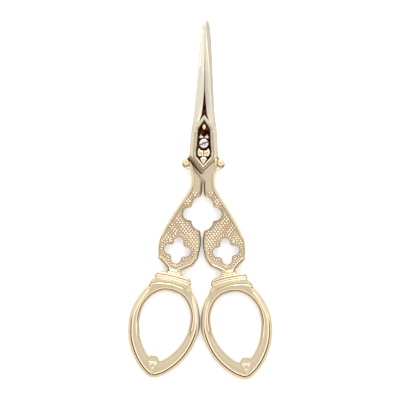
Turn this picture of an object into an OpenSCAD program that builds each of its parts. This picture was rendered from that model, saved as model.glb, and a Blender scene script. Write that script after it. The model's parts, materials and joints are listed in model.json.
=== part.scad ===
// Small ornate scissors with openwork handles, lying flat and closed.
// +Y runs to the blade tips, +X to the front half's finger bow, +Z up through the thickness.
// The origin is on the pivot axis, in the plane that the scissors rest on.
// Both halves are one casting: the rear half is the front half turned over about the Y axis.

/* [Thickness] */
// Thickness of the handles, the greatest of the whole object
thickness = 3.8; // [3.2:0.1:5]
// Gap between the sliding faces of the two halves
slide_gap = 0.06; // [0.04:0.01:0.12]
// How far the pivot plate lies below the handle's face
plate_drop = 0.3; // [0.2:0.05:0.5]

/* [Blades] */
// Distance from the pivot to the blade tips
blade_reach = 44.2; // [40:0.1:50]
// Thickness of a blade at its tip
tip_thickness = 0.8; // [0.5:0.1:1.2]
// Depth of the hollow that runs down the middle of a blade
fuller_depth = 0.45; // [0.2:0.05:0.6]
// Half the width of the sloping face along a blade's back and edge
bevel_w = 0.9; // [0.6:0.1:1.2]

/* [Pivot] */
// Radius of the screw's plain shoulder
shoulder_r = 1.3; // [1.1:0.05:1.5]
// Radial clearance of the shoulder in the front half
shoulder_clearance = 0.05; // [0.02:0.01:0.1]
// Radius of the screw's thread
thread_r = 1.0; // [0.8:0.05:1.05]
// Radius of the screw's head
head_r = 1.77; // [1.6:0.01:1.9]
// Thickness of the screw's head
head_h = 0.65; // [0.5:0.05:0.8]
// Radius of the hollow that the head sits in
counterbore_r = 2.15; // [2:0.05:2.3]
// Width of the screwdriver slot
slot_w = 0.5; // [0.3:0.05:0.7]
// Direction of the slot, in degrees from +X
slot_angle = 22; // [0:1:180]

/* [Handles] */
// Depth of the textured panel below the rails round it
panel_recess = 0.5; // [0.3:0.05:0.8]
// Radius of each lobe of the small four-lobed hole
lobe_r = 1.72; // [1.4:0.02:1.8]
// Distance of each lobe's centre from the middle of the small hole
lobe_reach = 3.1; // [2.8:0.05:3.3]
// Width of the raised rim round the small hole
rim_w = 0.6; // [0.4:0.05:0.8]
// Half the gap between the two closed handles where they touch
contact_x = 0.12; // [0.1:0.01:0.15]

/* [Bows] */
// Tilt of each finger bow away from the centre line, in degrees
bow_tilt = 12; // [11:0.5:12.5]
// Width of a finger bow over its rim
bow_w = 25.2; // [24.5:0.1:25.3]
// Width of a finger bow's hole
hole_w = 18; // [17.4:0.1:18.4]
// Width of the sloping faces outside and inside the bow's flat land
bow_bevel = 0.8; // [0.5:0.1:1]
// Depth of those sloping faces
bow_step = 0.6; // [0.3:0.1:0.9]

/* [Hidden] */
$fn = 64;
gold = [0.87, 0.8, 0.66];
steel = [0.84, 0.83, 0.8];
middle = thickness / 2;
inner_face = middle + slide_gap / 2;
plate_top = thickness - plate_drop;
recess_floor = plate_top - 0.35;
counterbore_floor = recess_floor - 0.75;
bore_r = shoulder_r + shoulder_clearance;
past = 1;
bow_centre = [13.02, -65];
hole_centre = [8.7, -38.35];
ornament_centre = [0.85, -13.4];
hole_tilt = 8.3;

// Points of an arc about a centre, from one angle to another
function arc(c, r, a0, a1, n = 10) =
    [for (i = [0 : n]) let (a = a0 + (a1 - a0) * i / n) c + r * [cos(a), sin(a)]];

// One point of a smooth curve between b and c, which heads from a and towards d
function between(a, b, c, d, t) =
    0.5 * (2 * b + (c - a) * t + (2 * a - 5 * b + 4 * c - d) * t * t
    + (3 * b - a - 3 * c + d) * t * t * t);

// Smooth curve through all the points of p, with n steps from each to the next
function smooth(p, n = 3) =
    let (last = len(p) - 1)
    [for (i = [0 : last]) for (k = [0 : (i < last ? n - 1 : 0)])
        between(p[max(i - 1, 0)], p[i], p[min(i + 1, last)], p[min(i + 2, last)], k / n)];

function backwards(p) = [for (i = [len(p) - 1 : -1 : 0]) p[i]];
function flipped(p) = [for (q = backwards(p)) [-q.x, q.y]];

// Half of the bow's outer outline and of its hole, in the bow's own frame, whose +Y points at the pivot
function bow_half(grow = 0) =
    let (w = bow_w / 2 + grow)
    [for (q = smooth([[0, 14.6], [0.37, 14.2], [0.64, 13.1], [0.85, 8.8], [0.99, 3.2], [1, -1.4],
        [0.9, -7.2], [0.69, -12.4], [0.4, -16.6], [0.13, -18.9], [0, -19.2]])) [q.x * w, q.y * (1 + grow / 19)]];
function hole_half(grow = 0) =
    let (w = hole_w / 2 + grow)
    [for (q = smooth([[0, 12.4], [0.35, 11.8], [0.68, 9.7], [0.92, 6.1], [1, 2.2], [0.95, -2],
        [0.79, -6.2], [0.53, -9.8], [0.26, -12.2], [0, -12.6]])) [q.x * w, q.y * (1 + grow / 12)]];

// Outer side of the handle from the knob down to the neck
outer_side = concat(
    smooth([[4.5, -10], [4.2, -12.6], [4.6, -15.6], [6.5, -19], [10, -24.4], [13.4, -30.2], [15, -33.6]]),
    smooth([[15.4, -35], [15.7, -38], [15.5, -41.2]]),
    [[12.5, -44.5], [12.2, -45.8]]);

// Inner side of the handle from the neck up to the shoulder, round half of the large four-lobed opening
inner_side = concat(
    [[7.8, -46.2]],
    smooth([[3.2, -44], [1.6, -41.8], [0.8, -38.8], [2.2 * contact_x, -35.2], [0.5, -33], [0.9, -31.1]]),
    arc([0.3, -27.6], 3.45, -67, -4),
    arc([4.6, -25.2], 2.25, -100, 100),
    arc([0.1, -22.4], 3.65, 0, 63),
    smooth([[1.1, -19], [0.5, -18.2], [0.3, -15], [0.35, -12.4]]));

// Scroll-shaped knob beside the pivot plate
knob = smooth([[4.9, -4.8], [6.2, -5.4], [7.5, -6.5], [7.6, -7.9], [6.6, -8.9], [5.3, -9.2], [4.5, -10.2]], 4);

// Back of the blade, and the cutting edge
blade_back = smooth([[-4.6, 4.5], [-3.6, 11], [-2.95, 20], [-2.35, 30], [-1.6, 40], [-1, blade_reach - 1.2],
    [0, blade_reach]]);
blade_edge = smooth([[0, blade_reach], [0.4, 40], [1.15, 32], [2.3, 20], [3.3, 11], [3.9, 6.5]]);

// Frame of the ornament round the screw, whose sides bow slightly, growing by g outwards
function lozenge(g = 0) =
    let (right = [[2, 5 + g / 2], [2.25 + g, 3], [2.5 + g, -1], [2.65 + g, -4]])
    concat([[0, 7.9 + 1.6 * g]], right, [[0, -7.7 - 1.6 * g]], flipped(right));

// The small four-lobed hole, growing by g outwards
module quatrefoil(g = 0) {
    r = lobe_r + g;
    corner = 2 + 0.75 * g;
    foot = lobe_reach - 0.17 * r;
    translate(hole_centre) rotate(hole_tilt) for (a = [0 : 90 : 270]) rotate(a) {
        translate([lobe_reach, 0]) circle(r);
        polygon([[0, 0], [corner, -corner], [foot, -0.98 * r], [foot, 0.98 * r], [corner, corner]]);
    }
}

module handle_shape() {
    polygon(concat([[5.7, -5.9]], [for (q = knob) if (q.x > 5.9 || q.y < -8) q], outer_side, inner_side,
        [[1.1, -11.6]]));
}

// Hollow part of the handle's faces, between the outer rail and the inner rim
module panel_shape() {
    polygon(concat(
        smooth([[5.2, -18.8], [6.6, -21.2], [9.6, -26], [12.4, -30.8], [13.8, -34.6], [14.1, -37.6], [14, -40.6]]),
        [[11.4, -43.4], [8.4, -44.2]],
        smooth([[4, -43], [2.7, -41], [1.9, -37.5], [1.6, -34], [2.2, -31.9], [4.3, -29.4]]),
        arc([4.6, -25.2], 2.9, -70, 70, 8),
        [[4.9, -20.8]]));
}

module bow_solid() {
    translate(bow_centre) rotate(bow_tilt) difference() {
        union() {
            translate([0, 0, bow_step])
                linear_extrude(thickness - 2 * bow_step) polygon(concat(bow_half(), flipped(bow_half())));
            linear_extrude(thickness)
                polygon(concat(bow_half(-bow_bevel), flipped(bow_half(-bow_bevel))));
            translate(ornament_centre) cylinder(h = thickness, r = 2.2);
        }
        translate([0, 0, -past]) linear_extrude(thickness + 2 * past) difference() {
            polygon(concat(hole_half(), flipped(hole_half())));
            translate(ornament_centre) circle(2.3);
        }
        for (z = [-past, thickness - bow_step])
            translate([0, 0, z]) linear_extrude(bow_step + past) difference() {
                polygon(concat(hole_half(bow_bevel), flipped(hole_half(bow_bevel))));
                translate(ornament_centre) circle(2.3);
            }
    }
}

// Stepped collar between the neck and the bow, with two grooves across each face
module collar_solid() {
    groove = 0.3;
    side = [[2.6, 19.6], [3.4, 18.5], [5.6, 18.3], [6.5, 17.6], [6.7, 16.6], [7.5, 15.7], [7.9, 14.7], [7.8, 13.2],
        [5, 12.8]];
    translate(bow_centre) rotate(bow_tilt) translate([0.45, 0]) difference() {
        linear_extrude(thickness) polygon(concat(side, flipped(side)));
        for (y = [17.1, 15]) for (z = [0, thickness])
            translate([0, y, z]) cube([20, groove, 2 * groove], center = true);
    }
}

// Narrow neck above the collar, with raised rings
module neck_solid() {
    translate(bow_centre) rotate(bow_tilt) {
        translate([-2.2, 18.6, 0.5]) cube([4.4, 2.6, thickness - 1]);
        for (y = [19.2, 20.2]) translate([-2.4, y, 0.25]) cube([4.8, 0.5, thickness - 0.5]);
    }
}

// The handle's shank and openwork panel at full thickness
module handle_solid() {
    difference() {
        union() {
            difference() {
                linear_extrude(thickness) handle_shape();
                for (z = [-past, thickness - panel_recess])
                    translate([0, 0, z]) linear_extrude(panel_recess + past) panel_shape();
            }
            linear_extrude(thickness - 0.1) quatrefoil(rim_w);
        }
        translate([0, 0, -past]) linear_extrude(thickness + 2 * past) quatrefoil();
    }
}

// Pivot plate with the raised frame and sunk field round the screw
module plate_solid() {
    plate = concat(
        [[-5.3, -5], [-0.4, -11.1], [0.35, -11.6], [0.5, -13], [3.6, -13], [4.6, -10], [6.2, -8.6], [4.9, -4.8]],
        [[4.7, 0], [4.2, 6.5], [3.6, 7.5], [-4, 7.5], [-4.9, 0]]);
    difference() {
        union() {
            translate([0, 0, inner_face]) linear_extrude(plate_top - inner_face) polygon(plate);
            translate([0, 0, inner_face]) linear_extrude(thickness - 0.1 - inner_face) polygon(lozenge(0.7));
        }
        translate([0, 0, recess_floor]) linear_extrude(thickness) polygon(lozenge());
    }
}

// Cuts the sloping face along one side of a blade, from its root to its tip; out is 1 on the right side
module side_cut(root_x, tip_x, out) {
    start_y = 7.9;
    run = blade_reach - start_y;
    foot_z = inner_face + 0.5;
    top_z = foot_z + 1.6;
    translate([root_x, start_y, 0]) rotate(atan((root_x - tip_x) / run)) translate([0, run + past, 0])
        rotate([90, 0, 0]) linear_extrude(run + 2 * past)
            polygon([[0, foot_z], [3 * out, foot_z], [3 * out, top_z], [-1.6 * bevel_w * out, top_z]]);
}

// Blade with a flat inner face, a taper in thickness, sloping sides and a hollow down the middle
module blade_solid() {
    root_y = 4;
    hollow_y = 8.5;
    root_top = plate_top - 0.05;
    tip_top = inner_face + tip_thickness;
    hollow = [[1.3, hollow_y], [0.35, 18], [0.3, 30]];
    difference() {
        translate([0, 0, inner_face]) linear_extrude(thickness) polygon(concat(blade_back, blade_edge));
        rotate([90, 0, 90]) translate([0, 0, -10]) linear_extrude(20)
            polygon([[root_y, root_top], [hollow_y, root_top], [blade_reach + past, tip_top],
                [blade_reach + past, 3 * thickness], [root_y, 3 * thickness]]);
        side_cut(-4.3, -1.2, -1);
        side_cut(3.8, 0.1, 1);
        translate([0, 0, root_top - fuller_depth - 0.35]) linear_extrude(thickness)
            polygon(concat(flipped(hollow), hollow));
    }
}

// One whole casting, without its screw hole
module half_solid() {
    plate_solid();
    blade_solid();
    handle_solid();
    neck_solid();
    collar_solid();
    bow_solid();
}

// Front half: its hole has a hollow for the screw's head and a running fit on the shoulder
module front_half() {
    color(gold) difference() {
        half_solid();
        translate([0, 0, counterbore_floor]) cylinder(h = thickness, r = counterbore_r);
        cylinder(h = thickness, r = bore_r);
    }
}

// Rear half: the same casting turned over, with the hole that the screw threads into
module rear_half() {
    color(gold) difference() {
        translate([0, 0, thickness]) rotate([0, 180, 0]) half_solid();
        translate([0, 0, -past]) cylinder(h = thickness, r = thread_r + 0.02);
    }
}

// Slotted shoulder screw, whose thread ends in the plane that the scissors rest on
module pivot_screw() {
    rear_face = thickness - inner_face;
    head_floor = counterbore_floor + 0.03;
    color(steel) difference() {
        union() {
            cylinder(h = rear_face + past / 2, r = thread_r);
            translate([0, 0, rear_face + 0.01]) cylinder(h = head_floor - rear_face, r = shoulder_r);
            translate([0, 0, head_floor]) cylinder(h = head_h, r = head_r);
            translate([0, 0, head_floor + head_h]) cylinder(h = 0.12, r1 = head_r, r2 = 0.75 * head_r);
        }
        translate([0, 0, head_floor + head_h - 0.25]) rotate(slot_angle)
            translate([-2 * head_r, -slot_w / 2, 0]) cube([4 * head_r, slot_w, thickness]);
    }
}

front_half();
rear_half();
pivot_screw();
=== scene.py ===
import json
import bpy
import numpy as np
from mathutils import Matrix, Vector

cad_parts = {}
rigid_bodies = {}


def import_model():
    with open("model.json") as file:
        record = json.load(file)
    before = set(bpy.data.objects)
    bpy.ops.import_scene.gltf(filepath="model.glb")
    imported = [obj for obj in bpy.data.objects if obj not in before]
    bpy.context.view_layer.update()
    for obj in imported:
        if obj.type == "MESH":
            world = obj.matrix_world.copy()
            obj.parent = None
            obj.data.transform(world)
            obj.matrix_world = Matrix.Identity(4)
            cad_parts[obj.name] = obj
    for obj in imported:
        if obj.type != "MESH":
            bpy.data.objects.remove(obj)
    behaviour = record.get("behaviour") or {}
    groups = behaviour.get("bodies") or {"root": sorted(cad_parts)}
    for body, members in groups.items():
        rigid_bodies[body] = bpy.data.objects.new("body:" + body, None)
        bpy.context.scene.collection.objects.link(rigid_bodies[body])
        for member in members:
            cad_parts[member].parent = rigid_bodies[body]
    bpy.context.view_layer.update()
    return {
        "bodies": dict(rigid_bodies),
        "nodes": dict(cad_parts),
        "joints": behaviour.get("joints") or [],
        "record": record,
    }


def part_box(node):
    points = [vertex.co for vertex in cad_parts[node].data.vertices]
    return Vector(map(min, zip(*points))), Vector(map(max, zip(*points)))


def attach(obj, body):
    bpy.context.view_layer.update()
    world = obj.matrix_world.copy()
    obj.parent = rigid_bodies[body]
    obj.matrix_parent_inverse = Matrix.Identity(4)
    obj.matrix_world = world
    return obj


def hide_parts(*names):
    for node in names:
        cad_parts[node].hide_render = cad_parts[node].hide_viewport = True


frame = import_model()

MM = 0.001
screw_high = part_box("pivot_screw")[1]
half_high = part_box("front_half")[1]
THICK = half_high.z / MM                  # thickness of the handles
MIDDLE = THICK / 2                        # plane between the two halves
SLIDE_GAP = 0.06                          # gap between the halves' sliding faces
INNER_FACE = MIDDLE + SLIDE_GAP / 2       # sliding face of the front half
PLATE_TOP = THICK - 0.3                   # face of the pivot plate
BLADE_REACH = half_high.y / MM            # pivot to blade tip
SCREW_R = screw_high.x / MM               # radius of the screw's head
HANDLE_TILT = np.radians(12)              # tilt of the collar and the finger bow
BOW_CENTRE = np.array([13.02, -65])
HOLE_CENTRE = np.array([8.7, -38.35])     # middle of the small four-lobed hole
HOLE_TILT = np.radians(8.3)
PANEL_MIDDLE = np.array([8.0, -33.0])     # where the panel's rows of beads are counted from


# ---- curves

def smooth(points, steps=10):
    """Catmull-Rom curve through all the points, with the given number of steps from each to the next:
    half of (2b + (c-a)t + (2a-5b+4c-d)t^2 + (3b-a-3c+d)t^3) between b and c."""
    p = np.asarray(points, float)
    a, b, c, d = p[np.r_[0, 0:len(p) - 2]], p[:-1], p[1:], p[np.r_[2:len(p), len(p) - 1]]
    t = (np.arange(steps) / steps)[None, :, None]
    a, b, c, d = (q[:, None, :] for q in (a, b, c, d))
    curve = 0.5 * (2 * b + (c - a) * t + (2 * a - 5 * b + 4 * c - d) * t**2 + (3 * b - a - 3 * c + d) * t**3)
    return np.vstack([curve.reshape(-1, 2), p[-1:]])


def arc(centre, radius, start, stop, steps=24):
    """Points at equal angles, in degrees, on a circle."""
    a = np.radians(np.linspace(start, stop, steps + 1))
    return np.asarray(centre) + radius * np.stack([np.cos(a), np.sin(a)], 1)


def even(curve, spacing, closed=False):
    """The same curve with points at equal distances along it."""
    c = np.vstack([curve, curve[:1]]) if closed else curve
    run = np.r_[0, np.cumsum(np.linalg.norm(np.diff(c, axis=0), axis=1))]
    count = max(int(round(run[-1] / spacing)), 4)
    at = np.linspace(0, run[-1], count + 1)
    at = at[:-1] if closed else at
    return np.stack([np.interp(at, run, c[:, k]) for k in (0, 1)], 1)


def gap_to(points, curve, closed=True):
    """Distance of each point from the nearest stretch of a curve."""
    a = curve if closed else curve[:-1]
    b = np.roll(curve, -1, axis=0) if closed else curve[1:]
    ab = b - a
    t = ((points[:, None] - a) * ab).sum(-1) / np.maximum((ab**2).sum(-1), 1e-12)
    near = a + ab * np.clip(t, 0, 1)[..., None]
    return np.sqrt(((points[:, None] - near) ** 2).sum(-1)).min(1)


def inside(points, curve):
    """True for points inside a closed curve, by the even-odd rule for a ray along +X."""
    x, y = points[:, :1], points[:, 1:]
    a, b = curve, np.roll(curve, -1, axis=0)
    spans = (a[:, 1] > y) != (b[:, 1] > y)
    rise = np.where(b[:, 1] == a[:, 1], 1e-12, b[:, 1] - a[:, 1])
    crossing = a[:, 0] + (y - a[:, 1]) / rise * (b[:, 0] - a[:, 0])
    return (spans & (x < crossing)).sum(1) % 2 == 1


def inset(curve, width, closed=True):
    """The curve moved to its left by the width at each point, with a straight run where the moved points would
    cross over at a sharp corner."""
    ahead, behind = np.roll(curve, -1, axis=0), np.roll(curve, 1, axis=0)
    if not closed:
        ahead[-1], behind[0] = curve[-1], curve[0]
    along = ahead - behind
    left = np.stack([-along[:, 1], along[:, 0]], 1) / np.linalg.norm(along, axis=1)[:, None]
    width = np.broadcast_to(width, len(curve))
    moved = curve + left * width[:, None]
    good = gap_to(moved, curve, closed) > 0.96 * width
    index = np.arange(len(curve))
    period = len(curve) if closed else None
    return np.stack([np.interp(index, index[good], moved[good, k], period=period) for k in (0, 1)], 1)


def polar(curve, angles):
    """Distance from the origin to a closed curve round it, in each direction, by the side that the ray meets."""
    at = np.arctan2(curve[:, 1], curve[:, 0])
    order = np.argsort(at)
    at, p = at[order], curve[order]
    i = np.searchsorted(at, angles) % len(at)
    a, b = p[i - 1], p[i]
    ray = np.stack([np.cos(angles), np.sin(angles)], 1)
    side = b - a
    return (a[:, 0] * side[:, 1] - a[:, 1] * side[:, 0]) / (ray[:, 0] * side[:, 1] - ray[:, 1] * side[:, 0])


def grown(corners, by):
    """A polygon, listed anticlockwise, with every side moved out by a distance and met at the corners."""
    p = np.asarray(corners, float)
    side = np.roll(p, -1, axis=0) - p
    out = np.stack([side[:, 1], -side[:, 0]], 1) / np.linalg.norm(side, axis=1)[:, None]
    before = np.roll(out, 1, axis=0)
    return p + by * (out + before) / (1 + (out * before).sum(1))[:, None]


def ramp(value, start, stop):
    """Goes evenly from 0 at the start to 1 at the stop, and is held at them beyond."""
    return np.clip((value - start) / (stop - start), 0, 1)


def full_turn(steps):
    """Evenly spread angles, in radians, once round from minus pi."""
    return np.linspace(-np.pi, np.pi, steps, endpoint=False)


def smooth_loop(points):
    """Smooth curve through the points and back to the first, which isn't repeated."""
    return smooth(points + points[:1])[:-1]


# ---- meshes

def outward(points, faces):
    """The faces turned so that their enclosed volume, the sum of tetrahedra at the origin, is positive."""
    total = 0
    for group in faces:
        corner = points[group]
        for k in range(1, group.shape[1] - 1):
            total += np.einsum("ij,ij->", corner[:, 0], np.cross(corner[:, k], corner[:, k + 1]))
    return faces if total > 0 else [group[:, ::-1] for group in faces]


def loft(rings, loop=False):
    """Closed skin over rings of points, each closed in itself. In a loop the first and last rings are joined,
    and otherwise each is closed by a fan from the middle of its points."""
    count, size = rings.shape[:2]
    points = rings.reshape(-1, 3)
    i = np.arange(count if loop else count - 1)[:, None]
    j = np.arange(size)[None, :]
    i2, j2 = (i + 1) % count, (j + 1) % size
    quads = np.stack(np.broadcast_arrays(i * size + j, i * size + j2, i2 * size + j2, i2 * size + j), -1)
    faces = [quads.reshape(-1, 4)]
    if not loop:
        points = np.vstack([points, rings[0].mean(0), rings[-1].mean(0)])
        j, j2 = np.arange(size), (np.arange(size) + 1) % size
        first, last = count * size, count * size + 1
        faces.append(np.stack([j2, j, np.full(size, first)], 1))
        faces.append(np.stack([(count - 1) * size + j, (count - 1) * size + j2, np.full(size, last)], 1))
    return points, outward(points, faces)


def lifted(plan, z):
    """Rows of points in plan with their heights added."""
    return np.concatenate([plan, np.broadcast_to(z, plan.shape[:2])[..., None]], -1)


def ribbon(a, b, section, loop=False):
    """Solid band between two curves with matching points. The section lists (side, distance, z, painted shade)
    round
    it: a point lies that far from curve 0 or curve 1 towards the other, and never past the middle."""
    side, reach, z, _ = np.array(section, float).T
    across = b - a
    width = np.linalg.norm(across, axis=1)[:, None]
    unit = across / np.maximum(width, 1e-9)
    held = np.minimum(reach, 0.5 * width)
    step = np.where(side == 0, held, width - held)
    plan = a[:, None, :] + unit[:, None, :] * step[..., None]
    return loft(lifted(plan, z), loop)


def both_faces(section):
    """A ribbon's section from (side, distance, depth under the face, painted shade) for the upper face, from
    edge to edge, closed by its mirror image in the middle plane."""
    upper = [(side, reach, THICK - depth, dark) for side, reach, depth, dark in section]
    return np.array(upper + section[::-1], float)


def underneath(skin):
    """Mirror image of a skin in the middle plane, for the other face."""
    points, faces = skin
    return points * [1, 1, -1] + [0, 0, THICK], [group[:, ::-1] for group in faces]


def joined(*parts):
    """Several skins as one."""
    points = np.vstack([part[0] for part in parts])
    faces, start = [], 0
    for part in parts:
        faces += [group + start for group in part[1]]
        start += len(part[0])
    return points, faces


def stack(curves, heights, angles):
    """Nested closed curves round the origin, each read off at the same angles, as rings at their heights."""
    radius = np.stack([polar(curve, angles) for curve in curves])
    plan = np.stack([radius * np.cos(angles), radius * np.sin(angles)], -1)
    return lifted(plan, np.array(heights, float)[:, None])


def spin(radius, steps=96):
    """A circle round the origin as a closed curve."""
    return arc((0, 0), radius, -180, 180 - 360 / steps, steps - 1)


def all_angles(*corner_sets, steps=240):
    """Evenly spread angles together with those of every listed corner, so that each corner stays sharp."""
    corners = [np.arctan2(c[:, 1], c[:, 0]) for c in corner_sets]
    angles = np.sort(np.concatenate([full_turn(steps)] + corners))
    return angles[np.r_[True, np.diff(angles) > 1e-4]]


def turned_over(points):
    """Half a turn about the Y axis in the plane between the halves: x to -x and z to thickness minus z."""
    return points * [-1, 1, -1] + [0, 0, THICK]


SHARP_ANGLE = np.radians(28)              # edges that turn by more than this stay crisp


def in_scene(name, data):
    """A new object in the scene for a mesh, a light or a camera."""
    thing = bpy.data.objects.new(name, data)
    bpy.context.collection.objects.link(thing)
    return thing


def make(name, skin, painted_shade, material, body, node, slot):
    """Puts a skin, in millimetres, into a mesh object that rides on a CAD body and stands for a CAD node. The
    painted shade is how dark the colour is painted at each point to stand for shade and dark reflections, from 0
    for none to 1 and past it for black."""
    points, faces = skin
    mesh = bpy.data.meshes.new(name)
    mesh.from_pydata((points * MM).tolist(), [], [face for group in faces for face in group.tolist()])
    mesh.polygons.foreach_set("use_smooth", np.ones(len(mesh.polygons), bool))
    mesh.set_sharp_from_angle(angle=SHARP_ANGLE)
    # painted shade and dark reflection, stored per point for the material to read
    dark = mesh.attributes.new("painted_shade", "FLOAT", "POINT")
    dark.data.foreach_set("value", np.asarray(painted_shade, np.float32))
    mesh.materials.append(material)
    piece = in_scene(name, mesh)
    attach(piece, body)
    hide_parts(node)


# ---- outlines of a half

def from_bow(points):
    """From the bow's own frame, whose +Y points at the pivot, to the scissors' frame."""
    c, s = np.cos(HANDLE_TILT), np.sin(HANDLE_TILT)
    turn = np.array([[c, s], [-s, c]])
    out = np.array(points, float)
    out[..., :2] = out[..., :2] @ turn + BOW_CENTRE
    return out


def small_hole(grow, angles):
    """The small four-lobed hole's edge, moved out by grow. Its distance from the middle is the farther of the
    nearest lobe's circle and a straight side from the lobe's shoulder to the corner between two lobes."""
    lobe_r, reach, corner = 1.72, 3.1, 2.0
    turn = np.abs((angles + np.pi / 4) % (np.pi / 2) - np.pi / 4)
    r = lobe_r + grow
    miss = np.abs(reach * np.sin(turn))
    lobe = np.where(miss < r, reach * np.cos(turn) + np.sqrt(np.maximum(r**2 - miss**2, 0)), 0)
    tip = corner + 0.75 * grow
    foot = np.array([reach - 0.17 * r, 0.98 * r])
    side = foot - tip
    straight = tip * (side[1] - side[0]) / (side[1] * np.cos(turn) - side[0] * np.sin(turn))
    distance = np.maximum(lobe, np.where(turn > np.arctan2(foot[1], foot[0]), straight, 0))
    a = angles + HOLE_TILT
    return HOLE_CENTRE + distance[:, None] * np.stack([np.cos(a), np.sin(a)], 1)


# Line that the handle's full thickness ends on, beside the other half's plate, and the direction to its left
SHOULDER = np.array([[1.1, -11.6], [5.6, -6.1]])
SHOULDER_LEFT = np.array([-0.774, 0.633])


def past_shoulder(points):
    """Distance of points past the shoulder line, on the pivot's side."""
    return (points[:, :2] - SHOULDER[0]) @ SHOULDER_LEFT


# The handle's outer side from the knob to the neck, and its inner side from the neck to the shoulder, round
# half of the large four-lobed opening
OUTER_SIDE = np.vstack([
    smooth([[4.5, -10], [4.2, -12.6], [4.6, -15.6], [6.5, -19], [10, -24.4], [13.4, -30.2], [15, -33.6]]),
    smooth([[15.35, -35], [15.65, -38], [15.5, -41.2]]),
    [[12.5, -44.5], [12.2, -46.2]]])

INNER_SIDE = np.vstack([
    [[7.8, -46.8], [7.7, -45.95]],
    smooth([[3.2, -44], [1.6, -41.8], [0.8, -38.8], [0.27, -35.2], [0.5, -33], [0.75, -31.3], [1.6, -30.8]]),
    arc([0.3, -27.6], 3.45, -62, -4),
    arc([4.6, -25.2], 2.25, -98, 98),
    arc([0.1, -22.4], 3.65, 0, 63),
    smooth([[1, -19], [0.5, -18.2], [0.24, -15], [0.16, -12.6]])])


def handle_outline():
    """The handle without its knob, anticlockwise, with its points evenly spread."""
    loop = np.vstack([OUTER_SIDE[::-1], SHOULDER[::-1] * [0.98, 1], INNER_SIDE[::-1]])
    return even(loop, 0.16, closed=True)


def rail_width(points):
    """Width of the raised rail at each point of the outline: broad down the outer side, slim elsewhere."""
    x, y = points[:, 0], points[:, 1]
    outer = (x > 2.4 - 0.55 * (y + 14)) & (y > -33.6)
    broad = np.interp(y, [-33.6, -32.4, -18, -10, -8], [0.75, 1.2, 1.3, 1.15, 0.7])
    slim = np.interp(y, [-41.6, -40.4, -19, -18], [1.28, 0.66, 0.66, 0.8])
    return np.where(outer & (x > 3.9), broad, slim)


# ---- pieces of a half

def panel_sheet():
    """Flat core of the handle: a fine grid of cells kept where they lie well inside the outline and clear of
    the small hole, with walls at the edges. The rails and the hole's rim cover its stepped edges."""
    cell, margin, top = 0.22, 0.3, THICK - 0.56
    outline = handle_outline()
    hole = small_hole(0, full_turn(160))
    low, high = outline.min(0), outline.max(0)
    nx, ny = np.ceil((high - low) / cell).astype(int) + 1
    gx, gy = np.meshgrid(low[0] + cell * np.arange(nx), low[1] + cell * np.arange(ny), indexing="ij")
    grid = np.stack([gx, gy], -1).reshape(-1, 2)
    keep = inside(grid, outline) & (gap_to(grid, outline) > margin)
    keep &= ~inside(grid, hole) & (gap_to(grid, hole) > margin)
    keep = keep.reshape(nx, ny)
    full = keep[:-1, :-1] & keep[1:, :-1] & keep[1:, 1:] & keep[:-1, 1:]
    i, j = np.nonzero(full)
    here = i * ny + j
    upper = np.stack([here, here + ny, here + ny + 1, here + 1], 1)
    lower = upper[:, ::-1] + nx * ny
    walls, bare = [], ~np.pad(full, 1)
    for di, dj, start, stop in ((-1, 0, 1, 0), (1, 0, ny, ny + 1), (0, -1, 0, ny), (0, 1, ny + 1, 1)):
        edge = bare[i + 1 + di, j + 1 + dj]
        p, q = here[edge] + start, here[edge] + stop
        walls.append(np.stack([p, p + nx * ny, q + nx * ny, q], 1))
    points = np.vstack([np.c_[grid, np.full(len(grid), z)] for z in (top, THICK - top)])
    faces = np.vstack([upper, lower] + walls)
    used, renumbered = np.unique(faces, return_inverse=True)
    points, faces = points[used], renumbered.reshape(faces.shape)
    y = points[:, 1]
    # Painted shade on the floor between the beads, stronger towards the pivot end of the panel and beside the
    # small hole.
    by_hole = gap_to(points[:, :2], small_hole(1, full_turn(160))) < 0.35
    shade = np.where(by_hole, 0.6, np.interp(y, [-40, -35, -30], [0.02, 0.1, 0.3]))
    beaded = (y < -17.3) & (y > -40.9)
    return (points, outward(points, [faces])), np.where(beaded, shade, 0.06)


# The handle's rail from its edge inwards. Its painted shade is that round an opening; FREE_DARK is that
# elsewhere,
# # with painted shade on the outer edge's steep shoulder and at the foot of the inner wall.
RAIL = both_faces([
    (0, 0, MIDDLE - 0.5, 0.9), (0, 0.02, 1, 1.1), (0, 0.1, 0.68, 1.1), (0, 0.2, 0.45, 1), (0, 0.3, 0.29, 0.55),
    (0, 0.4, 0.18, 0.1), (1, 0.5, 0.14, 0), (1, 0.4, 0.14, 0), (1, 0.3, 0.17, 0), (1, 0.04, 0.52, 0.7),
    (1, 0, 0.7, 1)])
FREE_DARK = [0.9, 0.9, 0.4, 0.35, 0.25, 0, 0, 0, 0, 0.8, 1, 1, 0.8, 0, 0, 0, 0, 0.25, 0.35, 0.4, 0, 0.9]
# The same at the panel's foot, where a low outer face ends in a step
RAIL_LOW = both_faces([
    (0, 0, MIDDLE - 0.5, 0.9), (0, 0.02, 1.1, 0.9), (0, 0.1, 0.85, 0.8), (0, 0.2, 0.72, 0.6),
    (0, 0.52, 0.62, 0.35), (0, 0.58, 0.58, 1.2), (1, 0.42, 0.3, 1.2), (1, 0.38, 0.27, 0), (1, 0.3, 0.29, 0),
    (1, 0.06, 0.38, 0), (1, 0, 0.6, 0.6)])


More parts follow.
